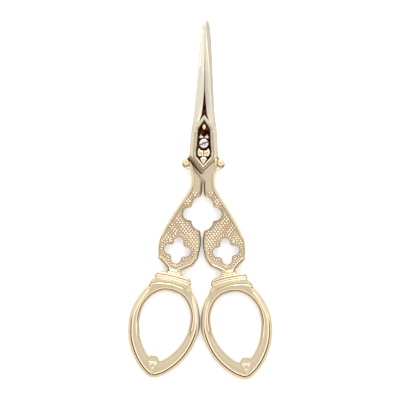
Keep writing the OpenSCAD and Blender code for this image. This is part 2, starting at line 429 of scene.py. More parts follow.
def rails():
    """Rail round the whole edge of the handle, which sinks under the plate by the pivot. Painted shade lies at
    the foot of its inner wall, round the openings, and where the two closed handles touch."""
    outline = handle_outline()
    inner = inset(outline, rail_width(outline))
    points, faces = ribbon(outline, inner, RAIL, loop=True)
    x, y = outline.T
    at_foot = ramp(y, -40.3, -41.1)[:, None]
    weight = np.repeat(at_foot, len(RAIL), 0)
    points += weight * (ribbon(outline, inner, RAIL_LOW, loop=True)[0] - points)
    near = ramp(past_shoulder(points), -0.95, -0.65)
    sunk = np.where(points[:, 2] > MIDDLE, 0.55 * near, 0)
    points[:, 2] -= sunk * (points[:, 2] - MIDDLE) / MIDDLE
    opening = gap_to(outline, INNER_SIDE, closed=False) < 0.1
    painted_shade = np.where(opening[:, None], RAIL[:, 3], FREE_DARK)
    shank = opening & (y > -18.8)
    painted_shade[shank] = np.maximum(painted_shade[shank], 0.55)
    # painted shade where the two closed handles touch
    contact = 1.2 * (ramp(x, 1.9, 1.1) * (y < -30.5))[:, None]
    for outer_wall in (slice(1, 6), slice(16, 21)):
        painted_shade[:, outer_wall] = np.maximum(painted_shade[:, outer_wall], contact)
    painted_shade += at_foot * (RAIL_LOW[:, 3] - painted_shade)
    return (points, faces), painted_shade.ravel() * (1 - near)


def hole_rim():
    """Rounded rim of the small four-lobed hole, with painted shade on its shoulder and at its foot."""
    angles, width = full_turn(240), 0.72
    section = both_faces([
        (0, 0, MIDDLE - 0.5, 0.9), (0, 0.02, 1, 1.1), (0, 0.14, 0.76, 1.1), (0, 0.28, 0.56, 1),
        (0, 0.36, 0.42, 0.6), (1, 0.2, 0.36, 0.1), (1, 0, 0.56, 0.5), (1, 0, 0.75, 1)])
    skin = ribbon(small_hole(0, angles), small_hole(width, angles), section, loop=True)
    return skin, np.tile(section[:, 3], len(angles))


def bead_skins(centres, radius, height, base):
    """Small domed beads on both faces, each with its own radius and height and painted shade round its foot:
    three rings of eight points up to a crown, closed underneath."""
    a = np.arange(8) * np.pi / 4
    circle = np.c_[np.cos(a), np.sin(a), np.ones(8)]
    rings = [circle * [1, 1, 0], circle * [0.78, 0.78, 0.52], circle * [0.46, 0.46, 0.86]]
    bead = np.vstack(rings + [[[0, 0, 1], [0, 0, -0.6]]])
    j, k = np.arange(8), (np.arange(8) + 1) % 8
    quads = np.vstack([np.stack([j, k, 8 + k, 8 + j], 1), np.stack([8 + j, 8 + k, 16 + k, 16 + j], 1)])
    caps = np.vstack([np.stack([16 + j, 16 + k, np.full(8, 24)], 1), np.stack([k, j, np.full(8, 25)], 1)])
    size = np.stack([radius, radius, height], 1)
    place = np.c_[centres, np.full(len(centres), base)]
    points = (bead * size[:, None] + place[:, None]).reshape(-1, 3)
    start = len(bead) * np.arange(len(centres))[:, None, None]
    top = points, [(quads + start).reshape(-1, 4), (caps + start).reshape(-1, 3)]
    dark = np.r_[np.full(8, 0.75), np.full(8, 0.12), np.zeros(9), 1]
    return joined(top, underneath(top)), np.tile(dark, 2 * len(centres))


def panel_beads():
    """Rows of beads over the panel, every other row shifted by half a pitch, clear of the rails, and a row of
    finer beads round the small hole. Fixed waves in their places and sizes keep them uneven, as cast."""
    pitch, rows = 1.14, 0.76
    u, v = np.meshgrid(np.arange(-20, 20), np.arange(-30, 30))
    grid = np.stack([pitch * (u + 0.5 * (v % 2)), rows * v], -1).reshape(-1, 2) + PANEL_MIDDLE
    x, y = grid.T
    grid = grid + 0.06 * np.stack([np.sin(5.1 * y + 2 * x), np.sin(4.3 * x - y)], 1)
    outline, angles = handle_outline(), full_turn(240)
    width = rail_width(outline)
    x, y = grid.T
    grid = grid[(x > 0) & (x < 16) & (y < -17.6) & (y > -40.4)]
    grid = grid[inside(grid, inset(outline, width + 0.3)) & ~inside(grid, small_hole(1.5, angles))]
    x, y = grid.T
    radius, height = 0.5 + 0.05 * np.sin(7 * x + 3 * y), 0.36 + 0.05 * np.sin(5 * x - 4 * y)
    field, field_dark = bead_skins(grid, radius, height, THICK - 0.6)
    row = even(small_hole(1, angles), 0.92, closed=True)
    row = row[inside(row, inset(outline, width + 0.12))]
    height = 0.34 + 0.03 * np.sin(9 * row[:, 0])
    border, border_dark = bead_skins(row, np.full(len(row), 0.44), height, THICK - 0.58)
    return joined(field, border), np.r_[field_dark, border_dark]


def knob():
    """Scroll-shaped knob beside the pivot: a flat root, and on it a ball, the end of the shank's rail and a
    rolled lip, with painted shade in the valleys between them. In the other half's layer it stops at the
    shoulder line."""
    centre = np.array([5.9, -7.1])
    edge = smooth_loop([
        [4.3, -5.2], [5.2, -5], [6.2, -5.4], [7.1, -6], [7.65, -7], [7.55, -7.9], [6.9, -8.75], [5.9, -9.1],
        [5, -9.35], [4.4, -10.1], [3.9, -9], [3.8, -7]]) - centre
    sizes, depths = np.array([(1, MIDDLE), (1, 1.1), (0.97, 0.85), (0.9, 0.7), (0.5, 0.62)]).T
    upper = stack([edge * k for k in sizes], THICK - depths, full_turn(96))
    lower = upper[::-1] * [1, 1, -1] + [0, 0, THICK]
    parts = [loft(np.vstack([lower, upper[1:]]) + np.r_[centre, 0])]
    ball = [[5, -6], [5.6, -5.35], [6.4, -5.55], [7.2, -6.2], [7.55, -7], [7.3, -7.8], [6.4, -8.15],
            [5.5, -8.1], [5, -7.5], [4.9, -6.7]]
    rail_end = [[4.2, -5.2], [4.8, -5.4], [4.85, -6.4], [4.75, -7.4], [4.35, -8.6], [4.1, -9.4], [3.8, -8.4],
                [3.9, -6.8]]
    lip = [[4.35, -8.9], [4.9, -8.35], [6.2, -8.4], [7.15, -8.1], [7.3, -8.4], [6.5, -8.95], [5.4, -9.1],
           [4.7, -9.7], [4.4, -10.2], [4.2, -9.6]]
    shapes = ((ball, (6.2, -6.9), 0.1), (rail_end, (4.35, -7), 0.15), (lip, (5, -8.9), 0.12))
    for outline, middle, drop in shapes:
        mound = dome_on(smooth_loop(outline), np.array(middle), THICK - 0.72, THICK - drop, 6)
        parts += [mound, underneath(mound)]
    points, faces = joined(*parts)
    past = np.where(points[:, 2] < INNER_FACE, np.maximum(past_shoulder(points), 0), 0)
    points[:, :2] -= past[:, None] * SHOULDER_LEFT
    # painted shade in the valleys, deeper the lower a point lies
    valley = THICK - 0.42 - np.maximum(points[:, 2], THICK - points[:, 2])
    return (points, faces), np.clip(valley / 0.3, 0, 0.85)


# The lozenge inside the frame round the screw, and the pivot plate
LOZENGE_SIDE = np.array([[2.55, -4.8], [2.65, -3], [2.4, -1], [2.2, 3], [2, 4.8], [1.5, 5.7]])
LOZENGE = np.vstack([LOZENGE_SIDE, [[0, 7.9]], LOZENGE_SIDE[::-1] * [-1, 1], [[0, -7.7]]])
PLATE = np.array([
    [4.95, -6.2], [4.9, -4.2], [4.7, 0], [4.45, 3.2], [4.2, 6.4], [2.7, 7], [0, 10.3], [-2.9, 6.6], [-4.45, 5.6],
    [-4.7, 3], [-4.9, 0], [-5.1, -3], [-5.3, -5], [-0.45, -11], [1, -11], [3.9, -7.9]])
COUNTERBORE_R = 2.15
BORE_R = {"front": 1.35, "rear": 1.02}    # clear of the screw's shoulder, and the hole for its thread
RECESS_FLOOR = PLATE_TOP - 0.45


def plate(bore_r, counterbored):
    """Pivot plate as nested closed curves round the screw's axis: its edge, the flat, the groove, the raised
    lozenge frame, the sunk field, and the hole in the middle. The edge is stepped only below the screw."""
    sole = INNER_FACE + 0.02                  # the blade's root covers its upper end
    border = [
        # growth, height over the flat, painted shade
        (0, sole - PLATE_TOP, 0.6), (0, -0.75, 1), (-0.06, -0.62, 0.6), (-0.26, -0.54, 0.8), (-0.38, -0.36, 0.3),
        (-0.58, -0.28, 0.7), (-0.72, -0.1, 0.1), (-0.84, -0.04, 0)]
    frame = [
        (1.16, 0, 0), (1.04, -0.2, 0.3), (0.82, -0.2, 0.3), (0.68, 0.08, 0), (0.58, 0.2, 0), (0.4, 0.22, 0),
        (0.12, -0.02, 0.3), (0, -0.12, 1), (-0.04, RECESS_FLOOR - PLATE_TOP, 1)]
    plan = [(grown(PLATE, g), PLATE_TOP + z, dark) for g, z, dark in border]
    plan += [(grown(LOZENGE, g), PLATE_TOP + z, dark) for g, z, dark in frame]
    deep = RECESS_FLOOR - (0.62 if counterbored else 0.05)
    plan += [(spin(COUNTERBORE_R), RECESS_FLOOR, 1), (spin(COUNTERBORE_R), deep, 1), (spin(bore_r), deep, 1),
             (spin(bore_r), sole, 1), (spin(bore_r + 0.15), sole, 0.2)]
    plan += [(grown(PLATE, g), sole, 0.2) for g in (-1.1, -0.9, -0.1)]
    curves, heights, dark = zip(*plan)
    angles = all_angles(PLATE, *(grown(LOZENGE, g) for g in (1.16, 0.68, 0.4, 0)))
    rings = stack(curves, heights, angles)
    flat = len(border) - 1
    y = rings[2:flat, :, 1]
    level = 0.88 * ramp(y, -4.9, -4.4) + 0.12 * ramp(y, 3.6, 5.2)
    rings[2:flat, :, 2] += (PLATE_TOP - 0.04 - rings[2:flat, :, 2]) * level
    outer = np.linalg.norm(rings[flat, :, :2], axis=1)
    for k in range(1, len(frame) + 1):
        r = np.linalg.norm(rings[flat + k, :, :2], axis=1)
        rings[flat + k, :, :2] *= (np.minimum(r, outer - 0.02 * k) / r)[:, None]
    points, faces = loft(rings, loop=True)
    # Painted shade: on the stepped edge only below the screw, in the sunk field, counterbore and bore, and a
    # painted shadow in the corner by the other half's shoulder.
    place = np.arange(len(points)) // len(angles)
    dark = np.repeat(dark, len(angles)) * np.where(place < flat, ramp(points[:, 1], -4.6, -5.1), 1)
    corner = (place >= len(plan) - 2) & (past_shoulder(points) < 1.35)
    return (points, faces), np.where(corner, 1, dark)


def shank_root():
    """Solid that joins the handle to the pivot plate above the sliding face, level with the panel."""
    edge = even(np.array([
        [0.7, -13.4], [3.5, -13.4], [4, -11.2], [4.4, -9.6], [4.9, -6.9], [4.6, -5.6], [0.12, -10.2],
        [0.14, -12.6]]), 0.3, closed=True)
    points, faces = loft(lifted(np.stack([edge, edge]), [[INNER_FACE + 0.04], [THICK - 0.53]]))
    return (points, faces), np.full(len(points), 0.08)


def chevron():
    """Raised double chevron under the lozenge: two rounded ridges along a V, with painted shade between them."""
    foot = INNER_FACE + 0.4 - PLATE_TOP
    section = np.array([
        # side, distance, height over the plate's flat, painted shade
        (0, 0, foot, 1), (0, 0, -0.06, 1), (0, 0.1, 0.02, 0.9), (0, 0.26, 0.2, 0), (0, 0.42, 0.2, 0),
        (0, 0.56, 0.03, 0.8), (1, 0.66, 0.02, 1), (1, 0.5, 0.2, 0), (1, 0.3, 0.2, 0), (1, 0.12, 0.03, 0.8),
        (1, 0, -0.06, 1), (1, 0, foot, 1)]) + [0, 0, PLATE_TOP, 0]
    t = np.linspace(0, 1, 14)[:, None]        # along each arm
    left, middle, right = np.array([[-4.75, -5.45], [0.15, -10.35], [4.15, -6.35]])
    arms = np.vstack([left + (middle - left) * t, middle + (right - middle) * t[1:]])
    return ribbon(arms, arms + [0, 1.45], section), np.r_[np.tile(section[:, 3], len(arms)), 1, 1]


def dome_on(curve, centre, low, high, steps=5, steps_round=64):
    """Pillow over a closed outline: rings that shrink by an angle's cosine and rise by its sine."""
    turn = np.linspace(0, 0.46 * np.pi, steps)
    rise = np.r_[low - 0.3, low + (high - low) * np.sin(turn)]
    rings = stack([(curve - centre) * k for k in np.r_[1, np.cos(turn)]], rise, full_turn(steps_round))
    return loft(rings + np.r_[centre, 0])


def screw_field():
    """Ornament cast in the sunk field: an oval bead and two prongs above the screw, and below it a pair of
    curled leaves over a pointed bud."""
    floor, top = RECESS_FLOOR, PLATE_TOP
    prong = [[0.15, 1.9], [1.5, 1.7], [1.75, 2.3], [1.35, 2.9], [1.2, 3.75], [0.8, 2.95], [0.2, 2.45]]
    leaf = [[0.05, -2.5], [0.9, -2.45], [1.65, -1.75], [2.15, -2.5], [2.15, -3.8], [1.6, -4.75], [0.9, -4.5],
            [0.1, -4.75]]
    vein = [[0.1, -3.1], [0.75, -2.95], [1.5, -2.5], [1.65, -2.9], [0.9, -3.5], [0.1, -3.6]]
    bud = [[0, -4.75], [0.85, -4.9], [1.25, -5.5], [0.8, -6.5], [0, -7.5], [-0.8, -6.5], [-1.25, -5.5],
           [-0.85, -4.9]]
    oval_middle, bud_middle = np.array([[0, 5.8], [0, -5.7]])
    oval = arc((0, 0), 1, -180, 165, 23) * [0.74, 1] + oval_middle
    parts = [dome_on(oval, oval_middle, floor, top + 0.05), dome_on(smooth_loop(bud), bud_middle, floor, top)]
    pairs = ((prong, (0.95, 2.4), floor, top - 0.02), (leaf, (1.25, -3.2), floor, top - 0.12),
             (vein, (0.85, -3.1), floor + 0.15, top + 0.02))
    for flip in ([-1, 1], [1, 1]):
        for outline, middle, low, high in pairs:
            parts.append(dome_on(smooth_loop(outline) * flip, np.array(middle) * flip, low, high))
    points, faces = joined(*parts)
    # painted shade at the foot of the ornament, darkest on the field
    return (points, faces), ramp(points[:, 2], floor + 0.22, floor + 0.02)


def blade():
    """Blade as sections across it from root to tip. Each runs over the back's wall, the sloping back face, the
    hollow's flank, its floor and pocket, the other flank, the sloping edge face and the flat inner side."""
    tip = BLADE_REACH
    y = np.r_[np.linspace(4.2, 18.5, 70), np.linspace(18.8, tip - 1.6, 60),
              tip - 1.5 * np.cos(np.linspace(0.1, 1.45, 10)) ** 2]

    def along(at, values):
        """A measure at every section, from its values at some distances from the pivot."""
        return np.interp(y, at, values)

    back = along([4, 6, 8, 11, 17, 20, 25, 30, 38, 42, 43.2, tip],
                 [-4.5, -4.38, -4, -3.6, -3.2, -2.95, -2.65, -2.35, -1.8, -1.3, -0.95, -0.12])
    edge = along([4, 6.4, 8, 14, 20, 25, 30.5, 37, 42, tip],
                 [4, 3.85, 3.7, 2.95, 2.3, 1.9, 1.3, 0.6, 0.15, -0.08])
    ridge = along([4, 7, 9, 12, 18, 25, 35, 42, tip], [3.2, 2.75, 2.2, 1.75, 1.35, 1.08, 0.72, 0.42, 0.05])
    floor = along([4, 7, 9, 12, 15, 18, 25, 35, 42, tip],
                  [2.7, 2.3, 1.55, 0.95, 0.62, 0.45, 0.4, 0.27, 0.12, 0.02])
    pocket = along([4, 7, 9, 10, 13, 15, 17, 19, 25, 30, 34, tip],
                   [2.6, 2.2, 1.42, 1.02, 0.66, 0.46, 0.32, 0.2, 0.14, 0.08, 0.004, 0.002])
    depth = along([4, 14, 17, 19, 30, 34], [0.95, 0.9, 0.55, 0.2, 0.1, 0])
    top = along([4, 9, 25, tip - 2, tip],
                [PLATE_TOP - 0.03, PLATE_TOP - 0.06, INNER_FACE + 1.15, INNER_FACE + 0.75, INNER_FACE + 0.5])
    line = 0.5 * (back + edge) * along([4, 20, 40, tip], [0, 0.25, 0.85, 1])
    slope = along([4, 8, 14, 30, tip], [0.1, 0.16, 0.3, 0.32, 0.2])
    sink = along([4, 12, 30, tip - 1, tip], [0.3, 0.32, 0.26, 0.1, 0])
    flat = np.full_like(y, INNER_FACE)
    rows = [
        (back, flat), (back, top - slope), (back + 0.06, top - slope + 0.05), (line - ridge - 0.03, top - 0.015),
        (line - ridge + 0.04, top - 0.02), (line - floor, top - sink), (line - pocket, top - sink - 0.01),
        (line - 0.8 * pocket, top - sink - depth), (line + 0.8 * pocket, top - sink - depth),
        (line + pocket, top - sink - 0.01), (line + floor, top - sink), (line + ridge - 0.04, top - 0.02),
        (line + ridge + 0.03, top - 0.015), (edge - 0.22, top - 0.5 * slope), (edge, flat + 0.22), (edge, flat)]
    rings = np.stack([np.stack([np.clip(x, back, edge), y, z], -1) for x, z in rows], 1)
    points, faces = loft(rings)
    # Painted shade on the hollow's flanks, near-black painted reflection in its pocket towards the root, and a
    # little on the back and edge walls.
    dark = np.zeros(rings.shape[:2])
    flank = along([4, 9, 16, tip - 4, tip], [0.1, 0.3, 0.34, 0.25, 0])[:, None]
    dark[:, 4:6], dark[:, 10:12] = 0.4 * flank, flank
    dark[:, 7:9] = along([4, 17, 20, 28, 34], [1, 1, 0.8, 0.6, 0])[:, None]
    dark[:, [0, 15]] = 0.2
    return (points, faces), np.r_[dark.ravel(), 0, 0]


# Right halves of the bow and its finger hole in the bow's own frame, from the collar's end to the pointed end
BOW_EDGE = smooth([
    [0, 14.6], [4.66, 14.2], [8.06, 13.1], [10.7, 8.8], [12.47, 3.2], [12.6, -1.4], [11.34, -7.2], [8.7, -12.4],
    [5.04, -16.6], [1.64, -18.9], [0, -19.25]], 16)
HOLE_EDGE = smooth([
    [0, 12.4], [3.15, 11.8], [6.1, 9.7], [8.3, 6.1], [9, 2.2], [8.55, -2], [7.1, -6.2], [4.8, -9.8],
    [2.34, -12.2], [0, -12.6]], 16)


def whole(half, out):
    """A half outline moved outwards, cut off at the axis, with its mirror image added."""
    moved = inset(half, np.full(len(half), out), closed=False) if out else half
    kept = moved[moved[:, 0] > 1e-3]

    def on_axis(p, q):
        """Where the line from p through q meets the axis."""
        return [0, p[1] - (q[1] - p[1]) * p[0] / (q[0] - p[0])]

    right = np.vstack([on_axis(kept[1], kept[0]), kept, on_axis(kept[-2], kept[-1])])
    return np.vstack([right, (kept * [-1, 1])[::-1]])


LOBE = np.array([0.85, -13.4])            # middle of the lobe, in the bow's own frame
BOW_TOP = THICK - 0.1                     # height of the bow's flat land


def bow():
    """Finger bow as nested closed curves round its middle: a rounded edge, a nearly level face, a small step up
    to the flat land, and the same again down to the hole, where a lobe stands at the pointed end. Painted shade
    darkens the outer step round the pointed end and the inner one by the collar, where the steps face away from
    the light, and the edge where the two bows touch."""
    angles = all_angles(whole(BOW_EDGE, 0), steps=480)
    ray = np.stack([np.cos(angles), np.sin(angles)], 1)

    def hole_r(out):
        """The hole's edge moved outwards, or the near side of the lobe where that comes first."""
        ahead = ray @ LOBE
        radius = max(2.25 - out, 0.3)
        miss = radius**2 - ((LOBE**2).sum() - ahead**2)
        lobe = np.where((miss > 0) & (ahead > 0), ahead - np.sqrt(np.maximum(miss, 0)), np.inf)
        return np.minimum(polar(whole(HOLE_EDGE, out), angles), lobe)

    slope = [
        # inwards from the edge, height, painted shade outside, painted shade round the hole
        (0, -1.35, 0.5, 0.8), (0.03, -1.1, 0.4, 0.7), (0.12, -0.88, 0.2, 0.5), (0.24, -0.68, 0.1, 0.5),
        (0.8, -0.61, 0.1, 0.45), (0.9, -0.58, 1.15, 1.15), (0.98, -0.54, 1.15, 1.15), (1.28, -0.26, 0.55, 0.75),
        (1.32, -0.24, 0, 0.3), (1.4, -0.214, 0, 0), (1.72, -0.116, 0, 0), (1.8, -0.1, 0.14, 0.14)]
    inwards, drops, dark_out, dark_in = np.array(slope).T[..., None]
    step = np.isin(np.arange(len(slope)), (5, 6, 7, 8))[:, None]
    from_top = np.degrees(np.abs(angles - np.pi / 2))
    outer_scale = 0.12 + 0.88 * ramp(from_top, 26, 38)
    inner_scale = np.interp(from_top, [20, 90, 140], [0.6, 0.7, 1.05])
    inner_rise = np.interp(from_top, [20, 95, 130], [0.6, 0.7, 0.2])
    outer = np.array([polar(whole(BOW_EDGE, -d), angles) for d in inwards[:, 0]])
    inner = np.array([hole_r(d) for d in inwards[:, 0]])
    outer = outer[0] + (outer - outer[0]) * outer_scale
    inner = inner[0] + (inner - inner[0]) * inner_scale
    radii = np.vstack([outer, inner[::-1]])
    land = drops[-1]
    upper = np.vstack([np.broadcast_to(drops, outer.shape), (land + (drops - land) * inner_rise)[::-1]])
    in_bow = radii[..., None] * ray
    plan = from_bow(in_bow)
    y_out, y_in = in_bow[:len(slope), :, 1], in_bow[:len(slope) - 1:-1, :, 1]
    # painted shade on the steps only where they face away from the light
    dark_out = dark_out * np.where(step, ramp(y_out, 1.5, -1.5), 1)
    dark_in = dark_in * np.where(step, ramp(y_in, -2.5, 0.5), 1 - 0.7 * ramp(from_top, 110, 150))
    # painted shade where the two bows touch
    contact = 0.6 * ramp(plan[:5, :, 0], 1.5, 0.5)
    dark_out[:5] = np.maximum(dark_out[:5], contact)
    dark = np.vstack([dark_out, dark_in[::-1]])
    rings = np.concatenate([lifted(plan, THICK + upper), lifted(plan, -upper)[::-1]])
    return loft(rings, loop=True), np.vstack([dark, dark[::-1]]).ravel()


def tip_ornament():
    """Ornament on both faces of the bow's pointed end: a rounded triangular rim round four petals."""
    middle = np.array([0.62, -14.9])
    corners = np.array([[-1.3, -13.3], [0.15, -18.5], [2.95, -13.8]]) - middle
    rounded = even(np.vstack([corners, corners[:1]]), 0.12)[:-1]
    for _ in range(6):
        rounded = (np.roll(rounded, 1, axis=0) + 2 * rounded + np.roll(rounded, -1, axis=0)) / 4
    steps = [
        # size, height over the land, painted shade
        (1.08, -0.2, 0.7), (1.07, 0.01, 0.7), (0.98, 0.02, 0.6), (0.88, 0.1, 0), (0.8, 0.1, 0), (0.72, 0.06, 0),
        (0.62, -0.16, 0.7), (0.3, -0.14, 0.3)]
    sizes, heights, dark = np.array(steps).T
    angles = full_turn(120)
    rim = loft(stack([rounded * k for k in sizes], BOW_TOP + heights, angles) + np.r_[middle, 0])
    raised, darks = [rim], [np.r_[np.repeat(dark, len(angles)), 1, 0.3]]
    for x, y, r in ((0.85, -13.95, 0.62), (-0.1, -14.4, 0.5), (1.45, -14.6, 0.5), (0.42, -15.9, 0.55)):
        petal = dome_on(arc((x, y), r, -180, 165, 23), np.array([x, y]), BOW_TOP - 0.16, BOW_TOP + 0.1, 4, 24)
        raised.append(petal)
        darks.append(np.zeros(len(petal[0])))
    points, faces = joined(*raised, *map(underneath, raised))
    return (from_bow(points), faces), np.concatenate(darks + darks)


def collar():
    """Neck and collar as squarish rounded sections, with ridges and grooves, from the panel down to the bow.
    Each section bends towards the bow by its arch times the square of x. Sides and grooves get painted shade."""
    rows = np.array([
        # distance from the bow's middle, half width, height above the middle plane, arch
        [20.9, 2.2, 1.2, 0], [20.45, 2.15, 1.3, 0], [20.3, 2.2, 1.5, 0], [20.1, 2.22, 1.56, 0],
        [19.95, 2.2, 1.5, 0], [19.85, 2.15, 1.3, 0], [19.7, 2.2, 1.52, 0], [19.45, 2.25, 1.6, 0],
        [19.25, 2.3, 1.5, 0.002], [19.15, 2.3, 1.32, 0.004], [19, 2.5, 1.55, 0.006], [18.75, 2.9, 1.66, 0.008],
        [18.6, 3.4, 1.58, 0.008], [18.5, 4.4, 1.36, 0.008], [18.42, 5.5, 1.38, 0.008], [18.3, 5.9, 1.66, 0.009],
        [18.1, 6.15, 1.8, 0.01], [17.9, 6.3, 1.82, 0.012], [17.7, 6.4, 1.66, 0.013], [17.6, 6.42, 1.44, 0.014],
        [17.45, 6.65, 1.66, 0.015], [17.2, 6.7, 1.76, 0.017], [17, 6.65, 1.66, 0.018], [16.9, 6.5, 1.42, 0.019],
        [16.75, 6.4, 1.62, 0.02], [16.5, 6.5, 1.74, 0.022], [16.3, 6.75, 1.62, 0.023], [16.2, 7.1, 1.4, 0.024],
        [16.1, 7.3, 1.5, 0.024], [15.6, 7.65, 1.56, 0.027], [15.2, 7.9, 1.6, 0.029], [15.08, 7.9, 1.4, 0.03],
        [14.92, 8.05, 1.7, 0.031], [14.75, 8.1, 1.86, 0.032], [14.55, 8.05, 1.89, 0.033],
        [14.35, 7.9, 1.74, 0.034], [14.22, 7.7, 1.5, 0.034], [14.1, 7.75, 1.66, 0.034],
        [13.95, 7.75, 1.84, 0.034], [13.85, 7.7, 1.84, 0.034], [13.75, 7.6, 1.6, 0.034]])
    finer, mean_height, relief = 4, 1.68, 0.62
    at = np.linspace(0, len(rows) - 1, finer * (len(rows) - 1) + 1)
    v, w, h, k = (np.interp(at, np.arange(len(rows)), column) for column in rows.T)
    h = mean_height + relief * (h - mean_height)
    t = full_turn(120)
    x, z = (np.sign(trig) * np.abs(trig) ** (2 / 9) for trig in (np.cos(t), np.sin(t)))
    x = w[:, None] * x
    y = v[:, None] - k[:, None] * (x - 0.3) ** 2
    skin = loft(from_bow(np.stack([x + 0.45, y, MIDDLE + h[:, None] * z], -1)))
    ends = 0.6 * ramp(np.abs(np.cos(t)), 0.6, 0.85)
    dip = np.clip((np.maximum(np.roll(h, finer), np.roll(h, -finer)) - h - 0.04) / 0.2, 0, 0.3)
    return skin, np.r_[np.maximum(dip[:, None], ends).ravel(), 0, 0]


def pivot_screw():
    """Slotted shoulder screw. The head's points run in strips along the slot, each as long as the chord of the
    head's circle, at the height of a shallow dome or of the slot's floor. The rest is spun."""
    head_top, head_low = screw_high.z / MM, RECESS_FLOOR - 0.55
    slot, slot_depth, turn = 0.26, 0.32, np.radians(22)
    across = np.r_[-np.cos(np.linspace(0, 1.4, 12)), -slot / SCREW_R, -slot / SCREW_R + 0.004]
    across = np.r_[across, -across[::-1]] * SCREW_R
    across[0], across[-1] = -SCREW_R * 0.9999, SCREW_R * 0.9999
    chord = np.sqrt(SCREW_R**2 - across**2)
    x = chord[:, None] * np.sin(np.linspace(-np.pi / 2, np.pi / 2, 25))
    y = np.broadcast_to(across[:, None], x.shape)
    r = np.sqrt(x**2 + y**2) / SCREW_R
    dome = head_top - 0.34 * r**2 - 0.16 * ramp(r, 0.86, 1) ** 2
    in_slot = np.abs(y) < slot - 0.002
    top = np.stack([x, y, np.where(in_slot, head_top - slot_depth, dome)], -1)
    low = np.stack([x, y, np.full_like(x, head_low)], -1)
    points, faces = loft(np.concatenate([top, low[:, ::-1]], 1))
    c, s = np.cos(turn), np.sin(turn)
    points[:, :2] = points[:, :2] @ np.array([[c, s], [-s, c]])
    seat, thread_r, shoulder_r, chamfer = THICK - INNER_FACE, 1, 1.3, 0.12
    radii, heights = zip((0.02, 0), (0.86, 0), (thread_r, chamfer), (thread_r, seat), (shoulder_r, seat + 0.02),
                         (shoulder_r, head_low + 0.05))
    shaft = loft(stack([spin(radius) for radius in radii], heights, full_turn(72)))
    # painted shade in the slot
    dark = np.r_[np.hstack([in_slot, in_slot]).ravel(), 0, 0, np.zeros(len(shaft[0]))]
    return joined((points, faces), shaft), dark


# ---- materials

def linear(hex_colour):
    """sRGB hex colour to linear RGBA: each channel over 0.04045 is ((c + 0.055) / 1.055) to the power 2.4."""
    c = np.array([int(hex_colour[i:i + 2], 16) for i in (1, 3, 5)]) / 255
    return (*np.where(c > 0.04045, ((c + 0.055) / 1.055) ** 2.4, c / 12.92), 1.0)


def add(owner, kind, settings=(), inputs=()):
    """Adds a node with its settings, and its inputs by name or number, each a value or another node's socket."""
    node = owner.node_tree.nodes.new(kind)
    for name, value in dict(settings).items():
        setattr(node, name, value)
    for name, value in dict(inputs).items():
        if isinstance(value, bpy.types.NodeSocket):
            owner.node_tree.links.new(value, node.inputs[name])
        else:
            node.inputs[name].default_value = value
    return node


def noise(owner, size_mm, place, detail=2.0, roughness=0.5):
    """Noise from 0 to 1 whose largest cells have the given size."""
    inputs = {"Vector": place, "Scale": 1 / (size_mm * MM), "Detail": detail, "Roughness": roughness}
    return add(owner, "ShaderNodeTexNoise", inputs=inputs).outputs["Fac"]


def remap(owner, value, start, stop, low, high, **settings):
    """The value with its range from start to stop stretched to the range from low to high, and held there."""
    inputs = {"Value": value, "From Min": start, "From Max": stop, "To Min": low, "To Max": high}
    return add(owner, "ShaderNodeMapRange", settings, inputs).outputs["Result"]


def maths(owner, operation, first, second):
    """Sum, product or difference of two values."""
    return add(owner, "ShaderNodeMath", {"operation": operation}, {0: first, 1: second}).outputs["Value"]


MIX_A, MIX_B, MIX_OUT = 6, 7, 2           # a Mix node's colour sockets


def blend(owner, factor, first, second):
    """Colour between the first and the second."""
    inputs = {"Factor": factor, MIX_A: first, MIX_B: second}
    return add(owner, "ShaderNodeMix", {"data_type": "RGBA"}, inputs).outputs[MIX_OUT]


def new_material(name):
    """A material with its shader and the Object coordinates that its patterns read."""
    material = bpy.data.materials.new(name)
    material.use_nodes = True
    place = add(material, "ShaderNodeTexCoord").outputs["Object"]
    return material, material.node_tree.nodes["Principled BSDF"], place


def plated_metal(name, shades, hollows, gloss, scratch_mm=0.5, stretch=(1, 1, 1), shade_strength=0.85):
    """Plating over cast or ground metal. Its colour drifts between two shades over a few millimetres, fine
    scratches stretched along the grain break up the gloss, and the piece's own attribute says how far two dark
    colours of painted shade and dark reflection cover it in its hollows and creases."""
    material, shader, place = new_material(name)
    shader.inputs["Metallic"].default_value = 1.0
    plating = blend(material, noise(material, 5, place, detail=3.0), *map(linear, shades))
    painted_shade = add(material, "ShaderNodeAttribute", {"attribute_name": "painted_shade"}).outputs["Fac"]
    blotch = noise(material, 1.2, place)
    # painted shade: how far the dark colours cover the plating, uneven in blotches
    amount = maths(material, "MULTIPLY", painted_shade, remap(material, blotch, 0.3, 0.7, shade_strength - 0.1, shade_strength))
    hollow = blend(material, remap(material, blotch, 0.47, 0.62, 0, 1), *map(linear, hollows))
    grain = add(material, "ShaderNodeMapping", inputs={"Vector": place, "Scale": stretch})
    scratch = noise(material, scratch_mm, grain.outputs["Vector"], detail=4.0, roughness=0.65)
    relief = {"Height": scratch, "Strength": 0.12, "Distance": 0.02 * MM}
    bump = add(material, "ShaderNodeBump", inputs=relief)
    link = material.node_tree.links.new
    link(blend(material, amount, plating, hollow), shader.inputs["Base Color"])
    link(remap(material, scratch, 0.3, 0.75, gloss, gloss + 0.1), shader.inputs["Roughness"])
    link(bump.outputs["Normal"], shader.inputs["Normal"])
    return material


# Bright champagne gold plating on tumbled castings: mirror-like, with brown painted shade in its hollows and
# creases.
CAST_GOLD = plated_metal("champagne_gold_plated_casting", ("#E9DBBD", "#E2D1AD"), ("#62502A", "#75552E"), 0.15)
# The same plating on the fine beads, painted paler and pinker as a painted highlight.
BEAD_GOLD = plated_metal("gold_plated_beads_painted_paler", ("#F3E5D0", "#EBD7BE"), ("#745A3E", "#805E40"), 0.15)
